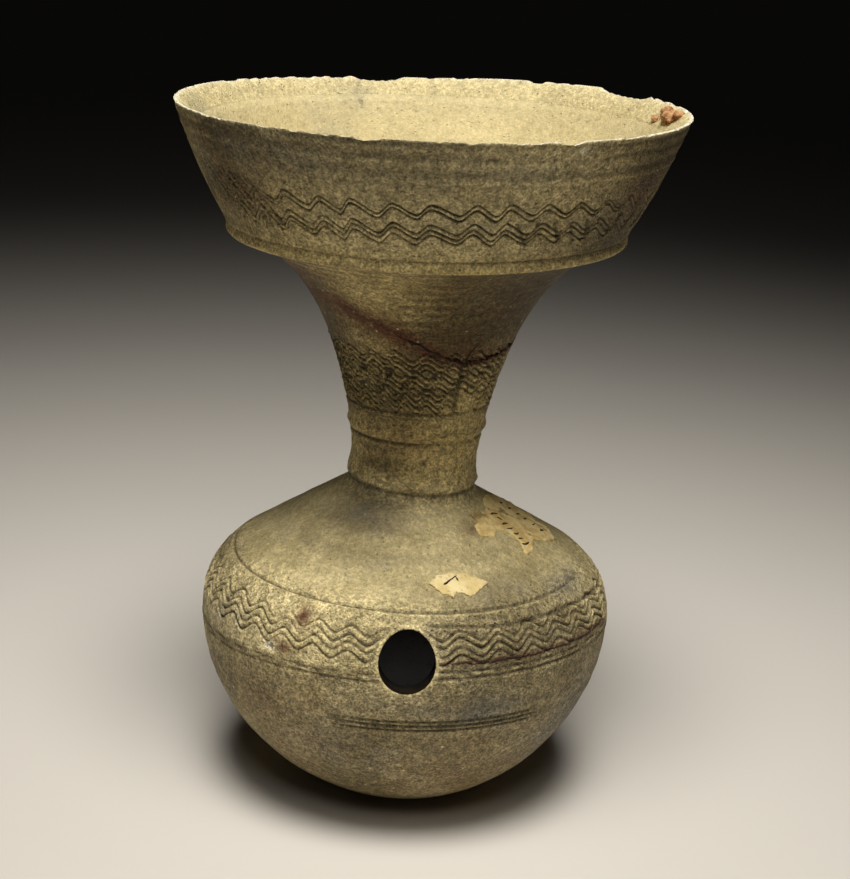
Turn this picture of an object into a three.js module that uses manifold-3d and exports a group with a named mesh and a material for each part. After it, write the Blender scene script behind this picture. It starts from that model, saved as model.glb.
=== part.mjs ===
// A wheel-thrown stoneware jar: a round body with one spout hole, a narrow neck and a wide
// bowl mouth. It is one hollow fired piece, open at the mouth and at the spout hole.
// Millimetres, +Z up, the flat of the round bottom on z = 0, the spout hole facing -Y.

import * as THREE from 'three';
import { mergeVertices } from 'three/addons/utils/BufferGeometryUtils.js';
import Module from 'manifold-3d';

// Body
const footRadius = 15;           // small flat that the round bottom stands on
const bellyRadius = 59;
const bellyHeight = 54;
const shoulderRadius = 49.4;     // where the belly has turned into the straight shoulder
const shoulderRise = 17.9;       // from the belly up to there
const neckFootRise = 39.8;       // from the belly up to the foot of the neck
const bodyWall = 5.4;
const floorThickness = 7;

// Neck
const neckRadius = 18;
const neckLength = 9;            // nearly straight part above the foot
const flareRise = 61.9;          // from the end of that up to the foot of the bowl
const neckWall = 4.3;
const footFillet = 2.7;          // sweep from the shoulder into the neck

// Bowl
const bowlFootRadius = 54.3;
const bowlDepth = 35.4;          // from its foot up to the lip
const rimRadius = 70.2;
const bandRise = 4.6;            // narrow hollow band between the foot and the wall
const bandRadius = 56.5;
const bowlWall = 5;
const lipWidth = 0.7;
const bevelWidth = 5.7;          // sloping face inside the lip
const bevelDrop = 5.8;

// Small leans left by the hand that joined the neck
const mouthShift = 0.7;          // the mouth stands this far towards +X
const mouthTilt = 0.0117;        // rise of the mouth for each millimetre towards +X
const neckSlant = 0.9;           // drop of the neck's foot on its +X side

// Spout hole, bored level through the wall
const spoutWidth = 15.4;
const spoutTallness = 16.8;
const spoutRise = 5.5;           // its middle, above the belly

// Turned beads and cut lines: where each sits along the outline, its width and its relief
const neckBeadRise = 16.8;       // above the foot of the neck
const neckBeadWidth = 3.2;
const neckBeadProud = 0.9;
const bowlBeadWidth = 3.4;
const bowlBeadProud = 1.1;
const lineWidth = 1.6;
const lineDepth = 0.5;
const lowLineRise = 1.1;         // lines on the body, above the belly
const midLineRise = 13.8;
const topLineRise = 17.3;
const neckLineRise = 23.6;       // line on the neck, above its foot

// Combed waves: lines cut side by side that rise and fall together around the jar
const combDepth = 0.6;
const bodyComb = { middle: 7.6, lines: [-3.3, -1.1, 1.1, 3.3], swing: 1.4, waves: 36 };
const neckComb = { middle: 35, lines: [-6, -3, 0, 3, 6], swing: 1.6, waves: 18 };
const bowlComb = { middle: 15.2, lines: [-5.4, -3.4, -1.4, 2.4, 4.4], swing: 2.1, waves: 36 };

// Chips in the rim: where round the mouth, in degrees from +X, how long and how deep
const rimChips = [
  { at: 99, length: 11, depth: 1.6 },
  { at: 62, length: 5, depth: 1.3 },
  { at: 38, length: 26, depth: 2.2 },
  { at: -62, length: 6, depth: 0.8 },
];
const chipReach = 4;             // how far a chip runs in from the outside of the lip

// Points around a ring: many on the wide outside, half as many on the neck and inside
const fineSteps = 72;
const coarseSteps = fineSteps / 2;
const insideRings = 18;

const neckFootHeight = bellyHeight + neckFootRise;
const neckTopHeight = neckFootHeight + neckLength;
const bowlFootHeight = neckTopHeight + flareRise;
const height = bowlFootHeight + bowlDepth;

const clay = new THREE.MeshStandardMaterial({
  name: 'clay', color: 0x8a7c58, roughness: 0.85, metalness: 0,
});

// The straight shoulder, as the point where it starts and its direction towards the neck
function shoulderLine(inset) {
  const start = new THREE.Vector2(shoulderRadius, bellyHeight + shoulderRise);
  const end = new THREE.Vector2(neckRadius, neckFootHeight);
  end.y -= footFillet;
  const along = end.clone().sub(start).normalize();
  start.x -= along.y * inset;
  start.y += along.x * inset;
  return { start, along };
}

// Point of a shoulder line at a radius
function onShoulder({ start, along }, radius) {
  const reach = (radius - start.x) / along.x;
  return start.clone().addScaledVector(along, reach);
}

// Outline of the outside, from the edge of the foot up to the lip
function outsideOutline() {
  const shoulder = shoulderLine(0);
  const turn = onShoulder(shoulder, bellyRadius);
  const sweep = onShoulder(shoulder, neckRadius + footFillet);
  const corner = onShoulder(shoulder, neckRadius);
  const path = new THREE.Path();
  path.moveTo(footRadius, 0);
  path.bezierCurveTo(
    footRadius + (bellyRadius - footRadius) * 0.59, bellyHeight * 0.115,
    bellyRadius, bellyHeight * 0.57,
    bellyRadius, bellyHeight,
  );
  path.quadraticCurveTo(bellyRadius, turn.y, shoulder.start.x, shoulder.start.y);
  path.lineTo(sweep.x, sweep.y);
  path.quadraticCurveTo(corner.x, corner.y, neckRadius, neckFootHeight);
  path.lineTo(neckRadius, neckTopHeight);
  path.bezierCurveTo(
    neckRadius + (bowlFootRadius - neckRadius) * 0.1, neckTopHeight + flareRise * 0.45,
    neckRadius + (bowlFootRadius - neckRadius) * 0.4, neckTopHeight + flareRise * 0.92,
    bowlFootRadius, bowlFootHeight,
  );
  path.lineTo(bandRadius, bowlFootHeight + bandRise);
  path.quadraticCurveTo(
    bandRadius + (rimRadius - bandRadius) * 0.62,
    bowlFootHeight + bandRise + (bowlDepth - bandRise) * 0.5,
    rimRadius, height,
  );
  return path;
}

// Outline of the inside, from the middle of the floor up to the foot of the lip's bevel
function insideOutline() {
  const shoulder = shoulderLine(bodyWall);
  const insideBelly = bellyRadius - bodyWall;
  const boreRadius = neckRadius - neckWall;
  const turn = onShoulder(shoulder, insideBelly);
  const sweep = onShoulder(shoulder, boreRadius + footFillet);
  const corner = onShoulder(shoulder, boreRadius);
  const bowlFloor = new THREE.Vector2(
    bowlFootRadius - bowlWall * 1.65,
    bowlFootHeight + bowlWall * 0.55,
  );
  const path = new THREE.Path();
  path.moveTo(0, floorThickness);
  path.bezierCurveTo(
    insideBelly * 0.58, floorThickness,
    insideBelly, floorThickness + (bellyHeight - floorThickness) * 0.5,
    insideBelly, bellyHeight,
  );
  path.quadraticCurveTo(insideBelly, turn.y, shoulder.start.x, shoulder.start.y);
  path.lineTo(sweep.x, sweep.y);
  path.quadraticCurveTo(corner.x, corner.y, boreRadius, neckFootHeight);
  path.lineTo(boreRadius, neckTopHeight);
  path.bezierCurveTo(
    boreRadius + (bowlFootRadius - neckRadius) * 0.1, neckTopHeight + flareRise * 0.46,
    boreRadius + (bowlFootRadius - neckRadius) * 0.44, neckTopHeight + flareRise * 0.94,
    bowlFloor.x, bowlFloor.y,
  );
  path.quadraticCurveTo(
    bowlFloor.x + bowlWall * 0.9, bowlFloor.y + bowlWall * 0.3,
    bandRadius - bowlWall, bowlFloor.y + bowlWall,
  );
  path.lineTo(rimRadius - lipWidth - bevelWidth, height - bevelDrop);
  return path;
}

// Distance along an outline at which it reaches a height
function distanceAt(path, level) {
  let low = 0;
  let high = path.getLength();
  for (let i = 0; i < 24; i++) {
    const middle = (low + high) / 2;
    if (path.getPoint(middle / path.getLength()).y < level) low = middle;
    else high = middle;
  }
  return low;
}

// A ring is where it lies along the outline, how deep it is cut there, and its points
function plainRings(from, to, count, steps) {
  const gap = (to - from) / (count + 1);
  return Array.from({ length: count }, (_, i) => ({ along: from + gap * (i + 1), cut: 0, steps }));
}

function grooveRings(middle, steps) {
  return [
    { along: middle - lineWidth / 2, cut: 0, steps },
    { along: middle, cut: lineDepth, steps },
    { along: middle + lineWidth / 2, cut: 0, steps },
  ];
}

function beadRings(middle, width, proud, steps) {
  return [
    { along: middle - width / 2, cut: 0, steps },
    { along: middle, cut: -proud, steps },
    { along: middle + width / 2, cut: 0, steps },
  ];
}

// Each line of a comb is a cut ring, with an uncut ring between it and the next. A ring has
// two points for each wave, one at its crest and one at its trough.
function combRings(middle, { lines, swing, waves }) {
  const shape = { swing, waves, steps: waves * 2 };
  const rings = [];
  lines.forEach((line, i) => {
    const below = i > 0 ? (line + lines[i - 1]) / 2 : line - (lines[1] - lines[0]) / 2;
    rings.push({ along: middle + below, cut: 0, ...shape });
    rings.push({ along: middle + line, cut: combDepth, ...shape });
  });
  const last = lines.length - 1;
  const above = lines[last] + (lines[last] - lines[last - 1]) / 2;
  rings.push({ along: middle + above, cut: 0, ...shape });
  return rings;
}

// Point of the outside at an angle on a ring, cut square to the outline
function ringPoint(path, { along, cut, swing = 0, waves = 0 }, angle) {
  const swung = along + swing * Math.cos(waves * angle);
  const at = THREE.MathUtils.clamp(swung / path.getLength(), 0, 1);
  const point = path.getPoint(at);
  const tangent = path.getTangent(at);
  return point.add(new THREE.Vector2(-tangent.y, tangent.x).multiplyScalar(cut));
}

// Rings of the outside, bottom to top
function outsideRings(path) {
  const at = (level) => distanceAt(path, level);
  const bowlFoot = at(bowlFootHeight);
  const lowLine = at(bellyHeight + lowLineRise);
  const midLine = at(bellyHeight + midLineRise);
  const topLine = at(bellyHeight + topLineRise);
  const neckFoot = at(neckFootHeight);
  const neckBead = at(neckFootHeight + neckBeadRise);
  const neckLine = at(neckFootHeight + neckLineRise);
  const neckWaves = at(neckFootHeight + neckComb.middle);
  const bowlWaves = at(bowlFootHeight + bowlComb.middle);
  const bandTop = at(bowlFootHeight + bandRise);
  const bowlBead = bowlFoot + bowlBeadWidth * 0.3;
  const lip = path.getLength();
  const half = lineWidth / 2;
  const neckCombTop = neckWaves + neckComb.lines.at(-1) + neckComb.swing;
  const bowlCombTop = bowlWaves + bowlComb.lines.at(-1) + bowlComb.swing;
  return [
    { along: 0, cut: 0, steps: fineSteps },
    ...plainRings(0, lowLine, 5, fineSteps),
    ...grooveRings(lowLine, fineSteps),
    ...combRings(at(bellyHeight + bodyComb.middle), bodyComb),
    ...grooveRings(midLine, fineSteps),
    ...grooveRings(topLine, fineSteps),
    ...plainRings(topLine + half, neckFoot - footFillet, 1, fineSteps),
    { along: neckFoot - footFillet, cut: 0, steps: coarseSteps },
    { along: neckFoot, cut: 0, steps: coarseSteps },
    ...plainRings(neckFoot, neckBead - neckBeadWidth / 2, 1, coarseSteps),
    ...beadRings(neckBead, neckBeadWidth, neckBeadProud, coarseSteps),
    ...grooveRings(neckLine, coarseSteps),
    ...combRings(neckWaves, neckComb),
    ...plainRings(neckCombTop, bowlBead - bowlBeadWidth / 2, 4, coarseSteps),
    ...beadRings(bowlBead, bowlBeadWidth, bowlBeadProud, fineSteps),
    ...grooveRings(bandTop, fineSteps),
    ...combRings(bowlWaves, bowlComb),
    ...plainRings(bowlCombTop, lip, 1, fineSteps),
    { along: lip, cut: 0, steps: fineSteps },
  ];
}

// Points of one ring of the jar, the radius and height at each angle
function ringOf(count, pointAt) {
  return Array.from({ length: count }, (_, i) => {
    const angle = (2 * Math.PI * i) / count;
    const { x: radius, y: level } = pointAt(angle);
    return new THREE.Vector3(radius * Math.cos(angle), radius * Math.sin(angle), level);
  });
}

// All rings of the jar, up the outside, over the lip and down the inside to the floor
function jarRings() {
  const outside = outsideOutline();
  const inside = insideOutline();
  const rings = outsideRings(outside).map((ring) => (
    ringOf(ring.steps, (angle) => ringPoint(outside, ring, angle))
  ));
  const lipInside = new THREE.Vector2(rimRadius - lipWidth, height);
  rings.push(ringOf(fineSteps, () => lipInside));
  for (let i = 0; i < insideRings; i++) {
    const point = inside.getPoint(1 - i / insideRings);
    rings.push(ringOf(coarseSteps, () => point));
  }
  return rings;
}

// Triangles between two rings: each point of the ring that has more points, or as many, goes
// to the nearest point of the other
function joinRings(low, high, faces) {
  const steps = Math.max(low.length, high.length);
  const pointOf = (ring, i) => ring.first + (Math.ceil((i * ring.length) / steps) % ring.length);
  for (let i = 0; i < steps; i++) {
    const corners = [pointOf(low, i), pointOf(low, i + 1), pointOf(high, i + 1), pointOf(high, i)];
    if (corners[0] !== corners[1]) faces.push(corners[0], corners[1], corners[2]);
    if (corners[2] !== corners[3]) faces.push(corners[0], corners[2], corners[3]);
  }
}

// Fan from one point to a ring
function closeRing(ring, middle, up, faces) {
  for (let i = 0; i < ring.length; i++) {
    const a = ring.first + i;
    const b = ring.first + ((i + 1) % ring.length);
    if (up) faces.push(a, b, middle);
    else faces.push(b, a, middle);
  }
}

// The mouth's shift and tilt and the slant of the neck's foot, fading into the round body
function lean(point) {
  const { smoothstep } = THREE.MathUtils;
  const mouth = smoothstep(point.z, neckFootHeight - footFillet * 2, neckFootHeight + neckBeadRise);
  const slant = smoothstep(point.z, bellyHeight + midLineRise, neckFootHeight) * (1 - mouth);
  const radius = Math.max(Math.hypot(point.x, point.y), neckRadius / 2);
  point.z += mouthTilt * mouth * point.x - (neckSlant * slant * point.x) / radius;
  point.x += mouthShift * mouth;
  return point;
}

function jarGeometry() {
  const rings = jarRings();
  const points = rings.flat().map(lean);
  const faces = [];
  let first = 0;
  const spans = rings.map(({ length }) => {
    const span = { first, length };
    first += length;
    return span;
  });
  for (let i = 0; i + 1 < spans.length; i++) joinRings(spans[i], spans[i + 1], faces);
  points.push(new THREE.Vector3(0, 0, 0), new THREE.Vector3(0, 0, floorThickness));
  closeRing(spans[0], first, false, faces);
  closeRing(spans.at(-1), first + 1, true, faces);
  const geometry = new THREE.BufferGeometry().setFromPoints(points);
  geometry.setIndex(faces);
  return geometry;
}

// Cutter for the spout hole: an upright ellipse that runs level through the wall
function spoutCutter() {
  const reach = bellyRadius + bodyWall;
  const geometry = new THREE.CylinderGeometry(1, 1, reach - bellyRadius / 2, 32);
  geometry.scale(spoutWidth / 2, 1, spoutTallness / 2);
  geometry.translate(0, -(reach + bellyRadius / 2) / 2, bellyHeight + spoutRise);
  return geometry;
}

// Cutter for a chip: a flattened ball let into the top of the lip
function chipCutter({ at, length, depth }) {
  const geometry = new THREE.SphereGeometry(1, 10, 6);
  const angle = THREE.MathUtils.degToRad(at);
  geometry.scale(chipReach, length / 2, depth);
  geometry.rotateZ(angle);
  const radius = rimRadius + chipReach / 4;
  const lift = mouthTilt * radius * Math.cos(angle);
  geometry.translate(mouthShift + radius * Math.cos(angle), radius * Math.sin(angle), height + lift);
  return geometry;
}

const wasm = await Module();
wasm.setup();

function toSolid(geometry) {
  geometry.deleteAttribute('normal');
  geometry.deleteAttribute('uv');
  const merged = mergeVertices(geometry, 1e-5);
  return new wasm.Manifold(new wasm.Mesh({
    numProp: 3,
    vertProperties: new Float32Array(merged.attributes.position.array),
    triVerts: new Uint32Array(merged.index.array),
  }));
}

function toGeometry(solid) {
  const { vertProperties, triVerts } = solid.getMesh();
  const geometry = new THREE.BufferGeometry();
  geometry.setAttribute('position', new THREE.BufferAttribute(new Float32Array(vertProperties), 3));
  geometry.setIndex(new THREE.BufferAttribute(new Uint32Array(triVerts), 1));
  geometry.computeVertexNormals();
  return geometry;
}

function makeJar() {
  let solid = toSolid(jarGeometry()).subtract(toSolid(spoutCutter()));
  for (const chip of rimChips) solid = solid.subtract(toSolid(chipCutter(chip)));
  const jar = new THREE.Mesh(toGeometry(solid), clay);
  jar.name = 'jar';
  return jar;
}

const object = new THREE.Group();
object.add(makeJar());

export default object;
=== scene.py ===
# The jar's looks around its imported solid: the thrown clay with its turned lines and combed
# waves, the chips, cracks and stains, two scraps of paper and a crumb of clay in the rim.
# Lengths are in millimetres and turned into metres where points are made.

import math

import bmesh
import bpy
import numpy as np
from mathutils import Matrix, geometry, noise


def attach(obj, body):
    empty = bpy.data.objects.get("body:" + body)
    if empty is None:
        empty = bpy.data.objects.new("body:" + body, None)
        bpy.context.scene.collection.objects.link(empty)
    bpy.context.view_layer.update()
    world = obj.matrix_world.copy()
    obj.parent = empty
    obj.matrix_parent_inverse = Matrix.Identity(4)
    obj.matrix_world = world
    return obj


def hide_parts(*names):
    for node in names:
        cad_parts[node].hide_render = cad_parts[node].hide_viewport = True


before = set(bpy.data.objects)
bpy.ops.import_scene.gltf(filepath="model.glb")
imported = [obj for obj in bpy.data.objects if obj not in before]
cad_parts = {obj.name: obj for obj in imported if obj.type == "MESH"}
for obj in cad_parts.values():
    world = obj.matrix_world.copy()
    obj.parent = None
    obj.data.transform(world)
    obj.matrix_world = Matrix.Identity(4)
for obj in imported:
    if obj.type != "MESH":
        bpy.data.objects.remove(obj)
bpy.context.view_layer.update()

MM = 0.001
TURN = 2 * math.pi

# Body
foot_radius = 15
belly_radius = 59
belly_height = 54
shoulder_radius = 49.4
shoulder_rise = 17.9
neck_foot_rise = 39.8
body_wall = 5.4
floor_thickness = 7

# Neck
neck_radius = 18
neck_length = 9
flare_rise = 61.9
neck_wall = 4.3
foot_fillet = 2.7

# Bowl
bowl_foot_radius = 54.3
bowl_depth = 35.4
rim_radius = 70.2
band_rise = 4.6
band_radius = 56.5
bowl_wall = 5
lip_width = 0.7
bevel_width = 5.7
bevel_drop = 5.8

# Leans left by hand
mouth_shift = 0.7
mouth_tilt = 0.0117
neck_slant = 0.9

# Spout hole
spout_width = 15.4
spout_tallness = 16.8
spout_rise = 5.5

neck_foot_height = belly_height + neck_foot_rise
neck_top_height = neck_foot_height + neck_length
bowl_foot_height = neck_top_height + flare_rise
height = bowl_foot_height + bowl_depth

# Points around a ring, where the clay is finely worked and where it is plain
fine_steps = 456
plain_steps = fine_steps // 2


# Outlines

def bezier(*corners, count=90):
    """Points of a curve with these control corners."""
    share = np.linspace(0, 1, count)[:, None]
    layers = [np.repeat(np.array([corner], float), count, axis=0) for corner in corners]
    while len(layers) > 1:
        layers = [a + (b - a) * share for a, b in zip(layers, layers[1:])]
    return layers[0]


class Outline:
    """A profile as radius and height, with the distance run along it."""

    def __init__(self, *curves):
        self.points = np.concatenate([curves[0]] + [curve[1:] for curve in curves[1:]])
        steps = np.hypot(*np.diff(self.points, axis=0).T)
        self.along = np.concatenate([[0], np.cumsum(steps)])
        self.length = self.along[-1]

    def at(self, along):
        radius = np.interp(along, self.along, self.points[:, 0])
        return radius, np.interp(along, self.along, self.points[:, 1])

    def across(self, along, reach=0.3):
        """Direction square to the profile, to the right of the way it runs."""
        low = self.at(np.clip(along - reach, 0, self.length))
        high = self.at(np.clip(along + reach, 0, self.length))
        run, rise = high[0] - low[0], high[1] - low[1]
        size = np.hypot(run, rise)
        return rise / size, -run / size

    def pushed(self, along, proud):
        """Radius and height of the points that stand this proud of the profile."""
        radius, level = self.at(along)
        out, up = self.across(along)
        return radius + out * proud, level + up * proud

    def distance(self, level):
        return np.interp(level, self.points[:, 1], self.along)


def shoulder_line(inset):
    """Start and direction of the straight shoulder, moved in by a wall."""
    start = np.array([shoulder_radius, belly_height + shoulder_rise])
    end = np.array([neck_radius, neck_foot_height - foot_fillet])
    way = (end - start) / np.linalg.norm(end - start)
    return start + np.array([-way[1], way[0]]) * inset, way


def on_shoulder(line, radius):
    start, way = line
    return start + way * (radius - start[0]) / way[0]


def outside_outline():
    line = shoulder_line(0)
    turn = on_shoulder(line, belly_radius)
    sweep = on_shoulder(line, neck_radius + foot_fillet)
    corner = on_shoulder(line, neck_radius)
    flare = bowl_foot_radius - neck_radius
    band_height = bowl_foot_height + band_rise
    return Outline(
        bezier(
            (foot_radius, 0),
            (foot_radius + (belly_radius - foot_radius) * 0.59, belly_height * 0.115),
            (belly_radius, belly_height * 0.57),
            (belly_radius, belly_height),
        ),
        bezier((belly_radius, belly_height), (belly_radius, turn[1]), line[0]),
        bezier(line[0], sweep),
        bezier(sweep, corner, (neck_radius, neck_foot_height)),
        bezier((neck_radius, neck_foot_height), (neck_radius, neck_top_height)),
        bezier(
            (neck_radius, neck_top_height),
            (neck_radius + flare * 0.1, neck_top_height + flare_rise * 0.45),
            (neck_radius + flare * 0.4, neck_top_height + flare_rise * 0.92),
            (bowl_foot_radius, bowl_foot_height),
        ),
        bezier((bowl_foot_radius, bowl_foot_height), (band_radius, band_height)),
        bezier(
            (band_radius, band_height),
            (band_radius + (rim_radius - band_radius) * 0.62, (band_height + height) / 2),
            (rim_radius, height),
        ),
    )


def inside_outline():
    """From the foot of the lip's bevel down to the middle of the floor."""
    line = shoulder_line(body_wall)
    belly = belly_radius - body_wall
    bore = neck_radius - neck_wall
    turn = on_shoulder(line, belly)
    sweep = on_shoulder(line, bore + foot_fillet)
    corner = on_shoulder(line, bore)
    flare = bowl_foot_radius - neck_radius
    floor = (bowl_foot_radius - bowl_wall * 1.65, bowl_foot_height + bowl_wall * 0.55)
    wall_foot = (band_radius - bowl_wall, floor[1] + bowl_wall)
    return Outline(
        bezier((rim_radius - lip_width - bevel_width, height - bevel_drop), wall_foot),
        bezier(wall_foot, (floor[0] + bowl_wall * 0.9, floor[1] + bowl_wall * 0.3), floor),
        bezier(
            floor,
            (bore + flare * 0.44, neck_top_height + flare_rise * 0.94),
            (bore + flare * 0.1, neck_top_height + flare_rise * 0.46),
            (bore, neck_top_height),
        ),
        bezier((bore, neck_top_height), (bore, neck_foot_height)),
        bezier((bore, neck_foot_height), corner, sweep),
        bezier(sweep, line[0]),
        bezier(line[0], (belly, turn[1]), (belly, belly_height)),
        bezier(
            (belly, belly_height),
            (belly, floor_thickness + (belly_height - floor_thickness) * 0.5),
            (belly * 0.58, floor_thickness),
            (0, floor_thickness),
        ),
    )


outside = outside_outline()
inside = inside_outline()

# Where things lie along the outside
low_line = outside.distance(belly_height + 1.1)
mid_line = outside.distance(belly_height + 13.8)
top_line = outside.distance(belly_height + 17.3)
neck_foot = outside.distance(neck_foot_height)
neck_bead = outside.distance(neck_foot_height + 16.8)
neck_line = outside.distance(neck_foot_height + 23.6)
bowl_foot = outside.distance(bowl_foot_height)
band_line = bowl_foot + 2.8
lip = outside.length


def smooth(low, high, value):
    """0 at low, 1 at high and smooth between; low may be above high."""
    share = np.clip((value - low) / (high - low), 0, 1)
    return share * share * (3 - 2 * share)


def soft(offset, width):
    """1 where the offset is 0, falling off softly over the width."""
    return np.exp(-((offset / width) ** 2))


def wrapped(angle):
    """The same angle within half a turn either way."""
    return (angle + math.pi) % TURN - math.pi


def degrees_of(theta):
    return (np.degrees(theta) + 180) % 360 - 180


def lean(x, y, z):
    """The mouth's shift and tilt and the slant of the neck's foot, in metres."""
    mouth = smooth(neck_foot_height - foot_fillet * 2, neck_foot_height + 16.8, z)
    slant = smooth(belly_height + 13.8, neck_foot_height, z) * (1 - mouth)
    radius = np.maximum(np.hypot(x, y), neck_radius / 2)
    z = z + mouth_tilt * mouth * x - neck_slant * slant * x / radius
    return np.stack([x + mouth_shift * mouth, y, z], axis=-1) * MM


def turned(theta, radius, level):
    """Point at an angle from the spout, in metres."""
    return lean(radius * np.sin(theta), -radius * np.cos(theta), level)


# Combed waves

class Wave:
    """The rise and fall of a comb drawn round by hand: crests at uneven gaps and heights,
    each falling slowly and rising fast. Angles are in radians."""

    def __init__(self, count, crest, fall, uneven, seed):
        rng = np.random.default_rng(seed)
        gaps = 1 + uneven * rng.standard_normal(count)
        gaps *= TURN / gaps.sum()
        self.crests = math.radians(crest) + np.concatenate([[0], np.cumsum(gaps)])
        heights = 1 + 1.6 * uneven * rng.standard_normal(count)
        self.heights = np.append(heights, heights[0])
        self.fall = fall

    def __call__(self, theta):
        angle = (theta - self.crests[0]) % TURN + self.crests[0]
        i = np.clip(np.searchsorted(self.crests, angle, side="right") - 1, 0, len(self.crests) - 2)
        share = (angle - self.crests[i]) / (self.crests[i + 1] - self.crests[i])
        down = np.minimum(share / self.fall, 1)
        up = np.maximum(share - self.fall, 0) / (1 - self.fall)
        run = np.where(share < self.fall, down, 1 - up)
        tall = self.heights[i] + (self.heights[i + 1] - self.heights[i]) * share
        return (0.6 * np.cos(np.pi * run) + 0.4 * (1 - 2 * run)) * tall


class Comb:
    """Lines cut side by side that follow one wave."""

    def __init__(self, middle, lines, swing, depth, width, wave):
        self.middle = middle
        self.lines = lines
        self.swing = swing
        self.depth = depth
        self.width = width
        self.wave = wave

    def shift(self, theta, along):
        """How far the rows of the mesh move to follow the wave."""
        low = self.middle + self.lines[0] - 1
        high = self.middle + self.lines[-1] + 1
        ramp = 2.4 * self.swing
        inside_band = np.clip((along - low) / ramp + 1, 0, 1) * np.clip((high - along) / ramp + 1, 0, 1)
        return self.swing * self.wave(theta) * inside_band

    def relief(self, theta, along):
        offset = along - self.middle - self.swing * self.wave(theta)
        relief = np.zeros(np.shape(offset))
        for i, line in enumerate(self.lines):
            strayed = 0.14 * np.sin(7 * theta + 3 * i) + 0.1 * np.sin(19 * theta + 5 * i)
            pressed = 0.8 + 0.2 * np.sin(11 * theta + 2 * i)
            relief += cut(offset - line - strayed, self.width, self.depth * pressed)
        return relief

    def rows(self):
        gap = self.width
        return [self.middle + line + gap * k for line in self.lines for k in (-2, -1, 0, 1, 2)]


def cut(offset, width, depth):
    """A pressed line with a burr thrown up along its lower edge."""
    burr = 0.38 * soft(offset + 1.9 * width, 0.8 * width)
    upper = 0.12 * soft(offset - 1.9 * width, 0.8 * width)
    return depth * (burr + upper - soft(offset, width))


bowl_comb = Comb(
    outside.distance(bowl_foot_height + 13.9), (-5.2, -3.6, -2, 2.4, 3.8),
    swing=1.75, depth=0.8, width=0.31, wave=Wave(39, -1, 0.66, 0.06, seed=3),
)
body_comb = Comb(
    84.7, (-3.4, -1.15, 1.15, 3.4),
    swing=1.6, depth=0.85, width=0.36, wave=Wave(35, -26, 0.55, 0.07, seed=5),
)
neck_combs = [
    Comb(
        middle, (-2.7, -0.9, 0.9, 2.7),
        swing=1.4, depth=0.95, width=0.33, wave=Wave(21, crest, 0.6, 0.12, seed=crest),
    )
    for middle, crest in ((163.4, 4), (169, 12), (174.8, 2))
]


# Marks, as angles in degrees from the spout towards +X with heights or distances along

def way_to(theta, along, path):
    """Distance on the surface to a path of (degrees, distance along) points."""
    theta = wrapped(theta)
    nearest = np.full(np.broadcast(theta, along).shape, 1e6)
    radius, _ = outside.at(along)
    for (t0, a0), (t1, a1) in zip(path, path[1:]):
        x0 = (theta - math.radians(t0)) * radius
        y0 = along - a0
        across = math.radians(t1 - t0) * radius
        up = a1 - a0
        share = np.clip((x0 * across + y0 * up) / (across ** 2 + up ** 2 + 1e-9), 0, 1)
        nearest = np.minimum(nearest, np.hypot(x0 - share * across, y0 - share * up))
    return nearest


def by_height(points):
    return [(angle, outside.distance(level)) for angle, level in points]


def patch(theta, along, angle, place, wide, tall):
    """Soft spot, from 1 in its middle down to 0."""
    radius, _ = outside.at(along)
    around = wrapped(theta - math.radians(angle))
    return np.exp(-((around * radius / wide) ** 2) - ((along - place) / tall) ** 2)


def strongest(theta, along, spots):
    """The highest of the spots, each an angle, distance along, half sizes and amount."""
    value = np.zeros(np.shape(theta))
    for angle, place, wide, tall, amount in spots:
        value = np.maximum(value, amount * patch(theta, along, angle, place, wide, tall))
    return value


def drawn(theta, stops):
    """Value at an angle, between (degrees, value) stops round the jar."""
    angles, values = zip(*stops)
    return np.interp(degrees_of(theta), angles, values, period=360)


neck_crack = by_height([
    (-43.5, 149), (-27.5, 145), (-15.5, 142.4), (-2, 138.6), (10, 135.8), (26, 133.2),
    (46.5, 133.9), (80, 135.8),
])
neck_branch = by_height([(32.5, 138.6), (29, 136.5), (26.5, 134.2)])
neck_scratch = by_height([(26, 132.8), (27, 124.9), (26, 118.2)])
body_crack = by_height([(10.5, 59.9), (20, 59.7), (43.5, 59.7), (60.5, 58.9), (73, 58.7)])
body_scratch = by_height([(-61.5, 63.2), (-56.5, 69.5)])
underside_stain = [(-79, 194.8), (-43, 193.8), (-23, 187.8), (-2, 182)]
low_drift = [(-72, -3.4), (-30, -0.4), (-8, 0), (9, 1.4), (34, 1.4), (90, 0.3), (180, -1.5)]
mid_drift = [(7.5, 1.3), (30, 0), (55, 0), (84, -2.6), (180, -1)]
front_lines = (39.5, 41, 42.3)
slashes = [[(-76 + 3.1 * k, 246.5 - 0.4 * k), (-66 + 3.1 * k, 234 - 0.6 * k)] for k in range(10)]
slashes += [[(20 + 5 * k, 235.5), (23.5 + 5 * k, 228.5)] for k in range(5)]

# Dents and lumps: degrees, distance along, half width, half height, how far out
chipped_spot = (-39.5, outside.distance(58))
dents = [
    (*chipped_spot, 2.2, 1.1, -0.8),
    (-74, 236, 2.5, 3, -0.8),
    (6.5, outside.distance(102.4), 0.8, 0.8, -0.5),
    (-7, outside.distance(95.2), 0.7, 0.7, 0.5),
    (85, outside.distance(94.9), 0.9, 0.8, 0.5),
]


def bead(offset, width, proud):
    return proud * soft(offset, 0.42 * width)


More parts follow.
